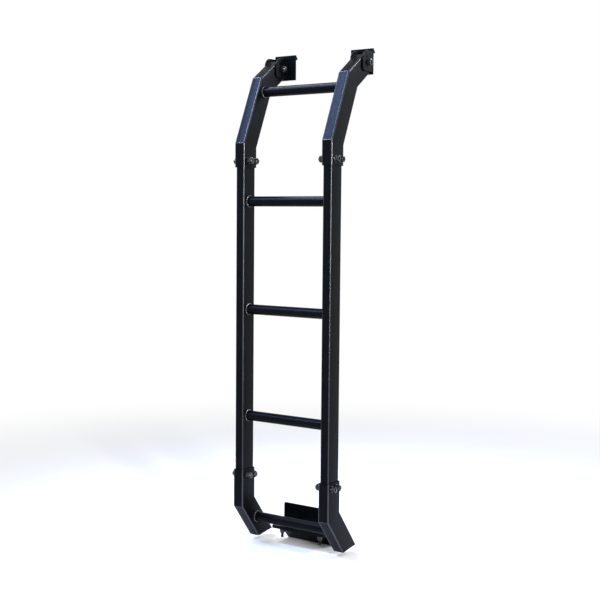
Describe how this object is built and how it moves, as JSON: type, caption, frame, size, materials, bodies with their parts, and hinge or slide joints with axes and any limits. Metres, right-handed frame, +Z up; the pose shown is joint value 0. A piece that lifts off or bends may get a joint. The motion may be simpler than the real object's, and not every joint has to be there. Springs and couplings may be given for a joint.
{
  "type": "tailgate ladder",
  "caption": "Bolt-together ladder for a vehicle's rear: round rungs between box-tube rails, a top that leans in to two pivoted hooks and a foot with an adjustable plate.",
  "frame": {"origin": "at the height of the lowest edge, under the middle of the ladder's bounding box", "axes": "+Z up along the rails, +X to the right of a person climbing, +Y towards the vehicle, so the climber stands on the -Y side"},
  "size_m": [0.3436, 0.208, 1.39],
  "materials": {
    "powder_coat": "black satin powder coat",
    "black_steel": "black oxide and zinc fasteners, half matt",
    "cap_plastic": "matt black moulded plastic"
  },
  "bodies": {
    "ladder": {"upper_rail_left": "powder_coat", "upper_end_cap_left": "cap_plastic", "main_rail_left": "powder_coat", "lower_rail_left": "powder_coat", "lower_end_cap_left": "cap_plastic", "gusset_left": "powder_coat", "base_screw_left": "black_steel", "base_nut_left": "black_steel", "base_locknut_left": "black_steel", "clamp_screw_upper_left_front": "black_steel", "clamp_nut_upper_left_front": "black_steel", "clamp_locknut_upper_left_front": "black_steel", "clamp_screw_upper_left_back": "black_steel", "clamp_nut_upper_left_back": "black_steel", "clamp_locknut_upper_left_back": "black_steel", "clamp_screw_lower_left_front": "black_steel", "clamp_nut_lower_left_front": "black_steel", "clamp_locknut_lower_left_front": "black_steel", "clamp_screw_lower_left_back": "black_steel", "clamp_nut_lower_left_back": "black_steel", "clamp_locknut_lower_left_back": "black_steel", "pivot_screw_left": "black_steel", "pivot_nut_left": "black_steel", "upper_rail_right": "powder_coat", "upper_end_cap_right": "cap_plastic", "main_rail_right": "powder_coat", "lower_rail_right": "powder_coat", "lower_end_cap_right": "cap_plastic", "gusset_right": "powder_coat", "base_screw_right": "black_steel", "base_nut_right": "black_steel", "base_locknut_right": "black_steel", "clamp_screw_upper_right_front": "black_steel", "clamp_nut_upper_right_front": "black_steel", "clamp_locknut_upper_right_front": "black_steel", "clamp_screw_upper_right_back": "black_steel", "clamp_nut_upper_right_back": "black_steel", "clamp_locknut_upper_right_back": "black_steel", "clamp_screw_lower_right_front": "black_steel", "clamp_nut_lower_right_front": "black_steel", "clamp_locknut_lower_right_front": "black_steel", "clamp_screw_lower_right_back": "black_steel", "clamp_nut_lower_right_back": "black_steel", "clamp_locknut_lower_right_back": "black_steel", "pivot_screw_right": "black_steel", "pivot_nut_right": "black_steel", "top_rung": "powder_coat", "rung_2": "powder_coat", "rung_3": "powder_coat", "rung_4": "powder_coat", "bottom_rung": "powder_coat", "base_plate": "powder_coat"},
    "hook_left": {"hook_plate_left": "powder_coat", "hook_ear_outer_left": "powder_coat", "hook_ear_inner_left": "powder_coat"},
    "hook_right": {"hook_plate_right": "powder_coat", "hook_ear_outer_right": "powder_coat", "hook_ear_inner_right": "powder_coat"},
    "foot_plate": {"tailgate_plate": "powder_coat"}
  },
  "joints": [
    {"name": "hook_left_pivot", "type": "hinge", "parent": "ladder", "child": "hook_left", "pos_m": [-0.14275, 0.07095, 1.35], "axis": [1, 0, 0], "range_deg": [-15, 15]},
    {"name": "hook_right_pivot", "type": "hinge", "parent": "ladder", "child": "hook_right", "pos_m": [0.14275, 0.07095, 1.35], "axis": [1, 0, 0], "range_deg": [-15, 15]},
    {"name": "foot_plate_slide", "type": "slide", "parent": "ladder", "child": "foot_plate", "axis": [0, 1, 0], "range_m": [-0.008, 0.008]}
  ]
}
